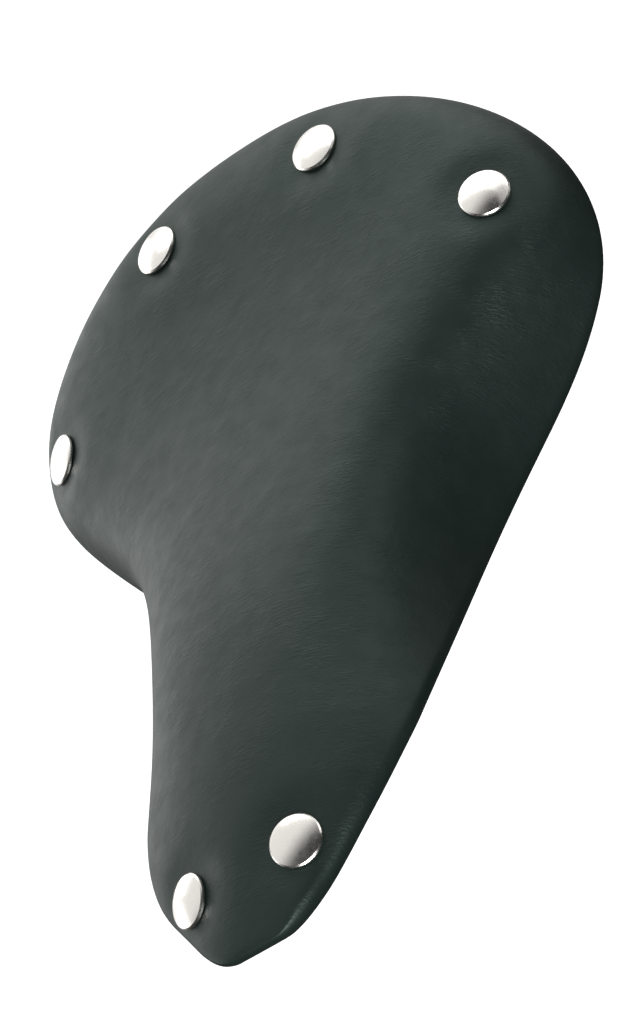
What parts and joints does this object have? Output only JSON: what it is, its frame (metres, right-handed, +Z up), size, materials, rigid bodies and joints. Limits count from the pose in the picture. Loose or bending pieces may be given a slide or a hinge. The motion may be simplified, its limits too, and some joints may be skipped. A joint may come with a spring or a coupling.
{
  "type": "bicycle saddle",
  "caption": "Padded bicycle saddle with a riveted cover over a moulded base, hinged on the crossbar of its bent steel rail at the nose and sprung on rubber buffers at the rear.",
  "frame": {"origin": "middle of the straight, level stretch of the two rails, halfway between them at the height of their axes", "axes": "+Z up, -Y towards the nose, +X towards the rider's left; +Y runs along the rails towards the rear"},
  "size_m": [0.1842, 0.2643, 0.0708],
  "materials": {
    "cover": "matte",
    "foam": "matte",
    "base_plastic": "satin",
    "bush_nylon": "satin",
    "rivet_nickel": "polished",
    "rail_steel": "satin",
    "pressed_steel": "satin",
    "fastener_zinc": "satin",
    "staple_steel": "satin",
    "buffer_rubber": "matte"
  },
  "bodies": {
    "rails": {"saddle_rail": "rail_steel", "rear_bridge": "pressed_steel", "left_buffer": "buffer_rubber", "right_buffer": "buffer_rubber", "lower_studs": "fastener_zinc", "lower_washers": "fastener_zinc", "lower_nuts": "fastener_zinc"},
    "seat": {"cover": "cover", "foam_pad": "foam", "base_shell": "base_plastic", "rear_rivets": "rivet_nickel", "nose_rivets": "rivet_nickel", "rivet_burrs": "rivet_nickel", "cover_staples": "staple_steel", "crossbar_bush": "bush_nylon", "nose_strap": "pressed_steel", "nose_strap_screws": "fastener_zinc", "upper_studs": "fastener_zinc", "upper_washers": "fastener_zinc", "upper_nuts": "fastener_zinc"}
  },
  "joints": [
    {"name": "seat_tilt", "type": "hinge", "parent": "rails", "child": "seat", "pos_m": [0, -0.1, 0.034], "axis": [-1, 0, 0], "range_deg": [0, 2], "stiffness_Nm_per_rad": 3600, "deforming": ["left_buffer", "right_buffer"]}
  ]
}
